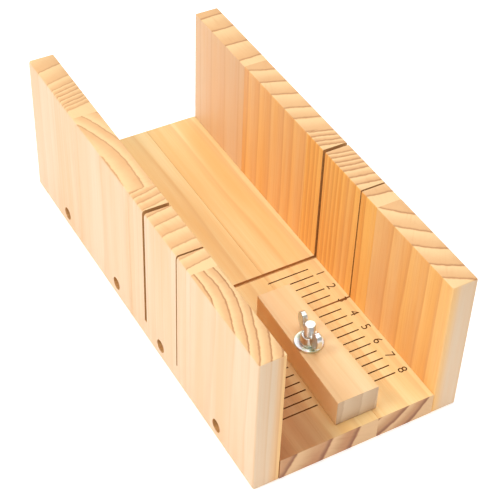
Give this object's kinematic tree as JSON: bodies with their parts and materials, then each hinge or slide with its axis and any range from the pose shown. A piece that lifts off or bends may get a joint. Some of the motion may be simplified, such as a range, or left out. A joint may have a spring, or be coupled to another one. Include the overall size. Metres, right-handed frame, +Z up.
{
  "type": "soap loaf cutting box",
  "caption": "Open pine trough for holding and slicing a soap loaf, with saw slots through both walls, a scale on the bed and a sliding stop bar clamped by a wing nut.",
  "frame": {"origin": "on the surface the box stands on, under the middle of its length and width", "axes": "+Z up, Y along the box with the scale end at -Y, X across the box with the numbered side of the scale at +X"},
  "size_m": [0.104, 0.225, 0.077],
  "materials": {
    "wall_pine": "sanded, unfinished pine, grain upright, end grain on top",
    "floor_pine": "sanded, unfinished pine, grain lengthwise, burnt scale",
    "bar_pine": "sanded, unfinished pine",
    "zinc_plated_steel": "bright zinc plate with a faint yellow passivate",
    "screw_steel": "dull yellow zinc plate"
  },
  "bodies": {
    "box": {"floor_stave_left": "floor_pine", "floor_stave_right": "floor_pine", "left_wall_stave_1": "wall_pine", "left_wall_stave_2": "wall_pine", "left_wall_stave_3": "wall_pine", "left_wall_stave_4": "wall_pine", "right_wall_stave_1": "wall_pine", "right_wall_stave_2": "wall_pine", "right_wall_stave_3": "wall_pine", "right_wall_stave_4": "wall_pine", "left_screw_1": "screw_steel", "left_screw_2": "screw_steel", "left_screw_3": "screw_steel", "left_screw_4": "screw_steel", "right_screw_1": "screw_steel", "right_screw_2": "screw_steel", "right_screw_3": "screw_steel", "right_screw_4": "screw_steel"},
    "bolt": {"carriage_bolt": "zinc_plated_steel"},
    "bar": {"stop_bar": "bar_pine"},
    "washer": {"flat_washer": "zinc_plated_steel"},
    "nut": {"wing_nut": "zinc_plated_steel"}
  },
  "joints": [
    {"name": "stop_slide", "type": "slide", "parent": "box", "child": "bolt", "axis": [0, 1, 0], "range_m": [-0.0285, 0.0285]},
    {"name": "bar_swivel", "type": "hinge", "parent": "bolt", "child": "bar", "pos_m": [-0.001, -0.071, 0.019], "axis": [0, 0, 1], "range_deg": [-90, 90]},
    {"name": "nut_lift", "type": "slide", "parent": "bolt", "child": "washer", "axis": [0, 0, 1], "range_m": [0, 0.0064]},
    {"name": "nut_turn", "type": "hinge", "parent": "washer", "child": "nut", "pos_m": [-0.001, -0.071, 0.03], "axis": [0, 0, 1], "range_deg": [0, 2880]}
  ],
  "couplings": [
    {"joint": "nut_turn", "follows": "nut_lift", "rad_per_m": 7854}
  ]
}
